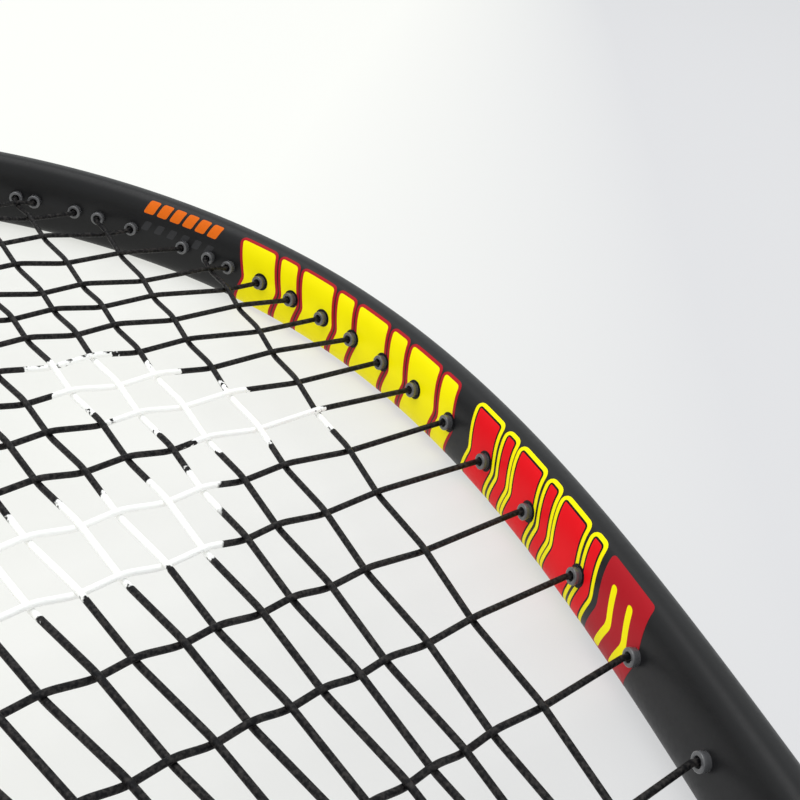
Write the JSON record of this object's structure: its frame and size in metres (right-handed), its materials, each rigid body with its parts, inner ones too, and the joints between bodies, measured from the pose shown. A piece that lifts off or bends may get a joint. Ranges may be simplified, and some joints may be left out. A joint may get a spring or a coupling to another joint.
{
  "type": "squash racket",
  "caption": "Squash racket with a teardrop head, fan-strung woven bed, bridged open throat and a wrapped octagonal handle.",
  "frame": {"origin": "centre of the butt cap's flat end", "axes": "+Y along the racket from the butt to the head tip, +Z square to the string plane, +X across the head, string plane at z = 0"},
  "size_m": [0.2143, 0.6848, 0.0314],
  "materials": {
    "carbon_paint": "satin black lacquer over moulded carbon, with a printed band of bright blocks",
    "nylon": "matt dark grey moulded nylon",
    "string": "black coated multifilament with a white stencil",
    "foam": "moulded hard foam",
    "butt_plastic": "matt moulded plastic",
    "steel": "bright wire",
    "grip_wrap": "cushioned polyurethane tape, spiral wrapped and perforated",
    "tape": "thin vinyl tape",
    "rubber": "soft matt rubber"
  },
  "bodies": {
    "root": {"frame": "carbon_paint", "bumper_guard": "nylon", "grommet_strip_left": "nylon", "grommet_strip_right": "nylon", "throat_grommet_strip": "nylon", "main_string": "string", "cross_string": "string", "pallet_upper": "foam", "pallet_lower": "foam", "butt_cap": "butt_plastic", "butt_staple_upper": "steel", "butt_staple_lower": "steel", "grip_wrap": "grip_wrap", "finishing_tape": "tape", "grip_collar": "rubber"}
  },
  "joints": []
}
